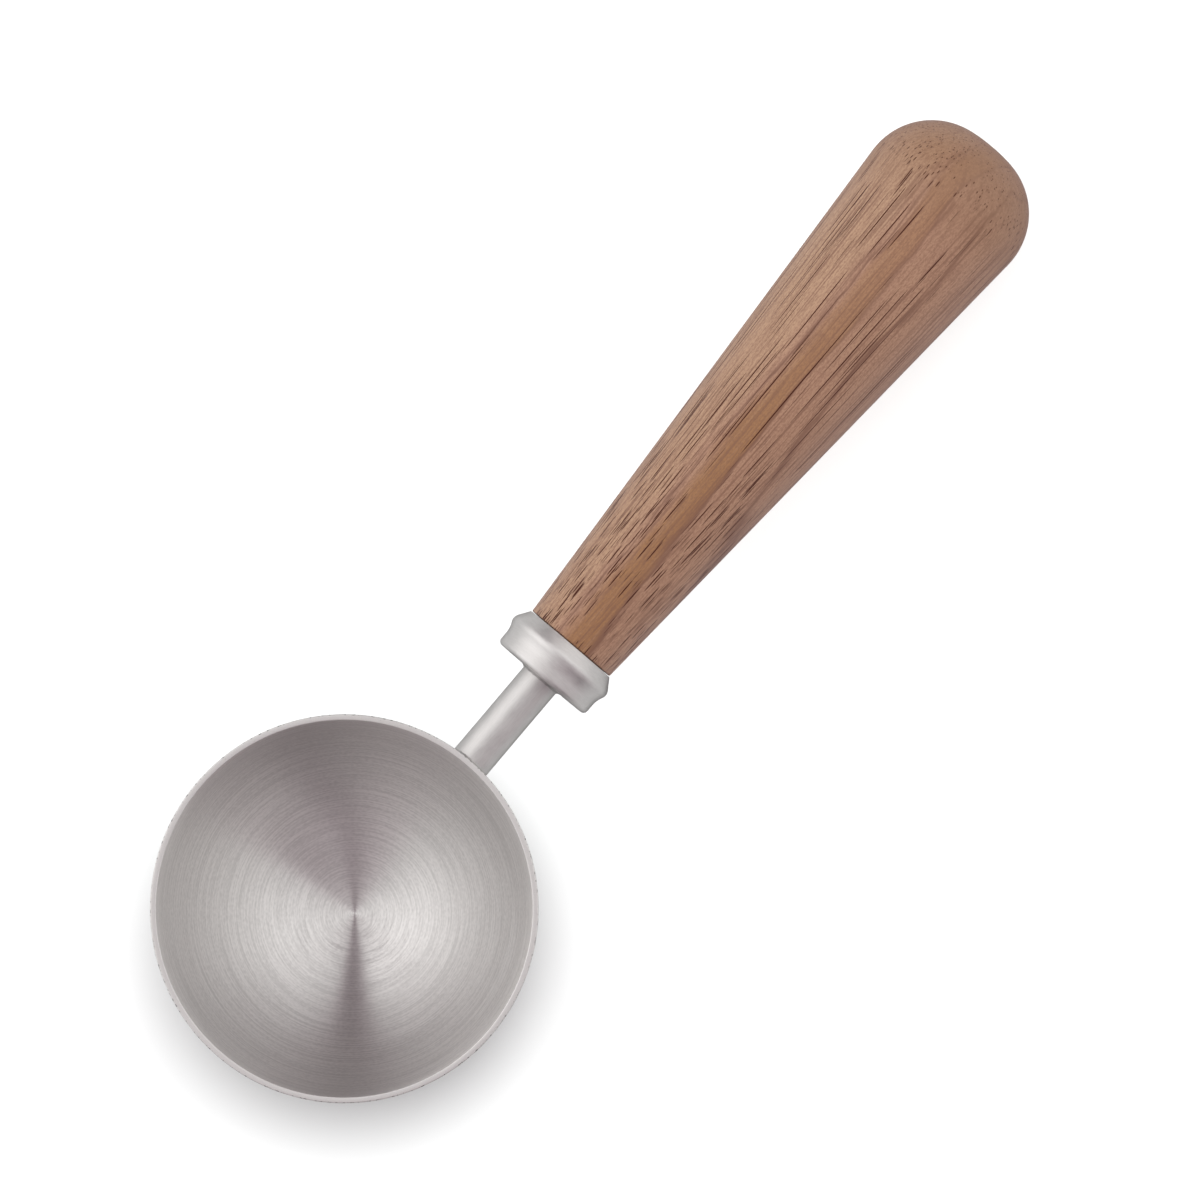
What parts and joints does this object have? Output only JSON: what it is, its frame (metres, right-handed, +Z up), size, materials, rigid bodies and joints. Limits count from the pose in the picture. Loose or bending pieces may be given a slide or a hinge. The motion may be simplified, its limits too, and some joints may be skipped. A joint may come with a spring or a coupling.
{
  "type": "coffee scoop",
  "caption": "Coffee scoop: a round brushed-steel bowl on a short rod stem, with a beaded steel ferrule and a tapered walnut handle, for measuring and spooning ground coffee.",
  "frame": {"origin": "middle of the footprint's box, on the surface that the scoop lies on with its bowl upwards", "axes": "+X along the handle towards its butt, +Z up from the surface, Y across the bowl"},
  "size_m": [0.1538, 0.0502, 0.0272],
  "materials": {
    "bowl_steel": "ring-brushed inside and out, rim ground flat",
    "stem_steel": "satin, drawn lengthwise",
    "ferrule_steel": "soft polish",
    "weld_metal": "dressed weld, slightly rough",
    "walnut": "oiled satin with open pores",
    "epoxy": "cured adhesive"
  },
  "bodies": {
    "root": {"bowl": "bowl_steel", "bowl_weld": "weld_metal", "stem": "stem_steel", "ferrule_weld": "weld_metal", "ferrule": "ferrule_steel", "handle": "walnut", "tang_glue": "epoxy"}
  },
  "joints": []
}
